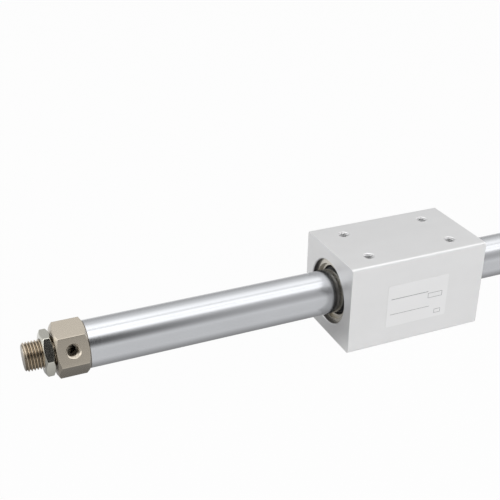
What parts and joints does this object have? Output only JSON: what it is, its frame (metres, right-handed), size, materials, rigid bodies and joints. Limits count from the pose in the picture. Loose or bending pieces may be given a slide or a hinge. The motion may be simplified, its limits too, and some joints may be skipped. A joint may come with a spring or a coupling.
{
  "type": "rodless pneumatic cylinder",
  "caption": "Magnetic rodless air cylinder: steel tube with hexagonal end covers, side air ports and neck nuts, and a square slider block with tapped mounting holes.",
  "frame": {"origin": "on the tube's axis, half way along the tube", "axes": "+X along the tube, +Z the outward normal of the slider block's tapped top face, -Y towards the block's labelled front"},
  "size_m": [0.3992, 0.0351, 0.035],
  "materials": {
    "tube_steel": "polished",
    "plated_brass": "satin",
    "plated_nut": "gloss",
    "plated_steel": "satin",
    "spring_steel": "satin",
    "anodised_aluminium": "satin",
    "housing_aluminium": "satin",
    "shaft_steel": "satin",
    "yoke_steel": "satin",
    "magnet": "satin",
    "black_rubber": "matte",
    "urethane": "satin",
    "wear_resin": "matte",
    "porous_resin": "matte",
    "label_film": "satin"
  },
  "bodies": {
    "cylinder": {"cylinder_tube": "tube_steel", "head_cover_left": "plated_brass", "head_cover_right": "plated_brass", "tube_gasket_left": "black_rubber", "tube_gasket_right": "black_rubber", "mounting_nut_left": "plated_nut", "mounting_nut_right": "plated_nut"},
    "piston_assembly": {"piston_shaft": "shaft_steel", "piston_left": "plated_brass", "piston_right": "plated_brass", "piston_wear_ring_left": "wear_resin", "piston_wear_ring_right": "wear_resin", "piston_seal_left": "black_rubber", "piston_seal_right": "black_rubber", "piston_bumper_left": "urethane", "piston_bumper_right": "urethane", "inner_magnet_1": "magnet", "inner_magnet_2": "magnet", "inner_magnet_3": "magnet", "inner_magnet_4": "magnet", "inner_yoke_1": "yoke_steel", "inner_yoke_2": "yoke_steel", "inner_yoke_3": "yoke_steel", "inner_yoke_4": "yoke_steel", "inner_yoke_5": "yoke_steel"},
    "slider_bearings": {"slider_wear_ring_left": "wear_resin", "slider_wear_ring_right": "wear_resin"},
    "slider": {"slider_block": "anodised_aluminium", "outer_magnet_1": "magnet", "outer_magnet_2": "magnet", "outer_magnet_3": "magnet", "outer_magnet_4": "magnet", "outer_yoke_1": "yoke_steel", "outer_yoke_2": "yoke_steel", "outer_yoke_3": "yoke_steel", "outer_yoke_4": "yoke_steel", "outer_yoke_5": "yoke_steel", "bearing_housing_left": "housing_aluminium", "bearing_housing_right": "housing_aluminium", "lube_retainer_left": "porous_resin", "lube_retainer_right": "porous_resin", "scraper_left": "black_rubber", "scraper_right": "black_rubber", "spacer_left": "plated_steel", "spacer_right": "plated_steel", "retaining_ring_left": "spring_steel", "retaining_ring_right": "spring_steel", "rating_label": "label_film"}
  },
  "joints": [
    {"name": "slider_slide", "type": "slide", "parent": "cylinder", "child": "slider_bearings", "axis": [1, 0, 0], "range_m": [-0.0925, 0.2075]},
    {"name": "slider_turn", "type": "hinge", "parent": "slider_bearings", "child": "slider", "pos_m": [-0.0575, 0, 0], "axis": [1, 0, 0], "continuous": true},
    {"name": "piston_slide", "type": "slide", "parent": "cylinder", "child": "piston_assembly", "axis": [1, 0, 0], "range_m": [-0.0925, 0.2075]}
  ],
  "couplings": [
    {"joint": "piston_slide", "follows": "slider_slide", "ratio": 1}
  ]
}
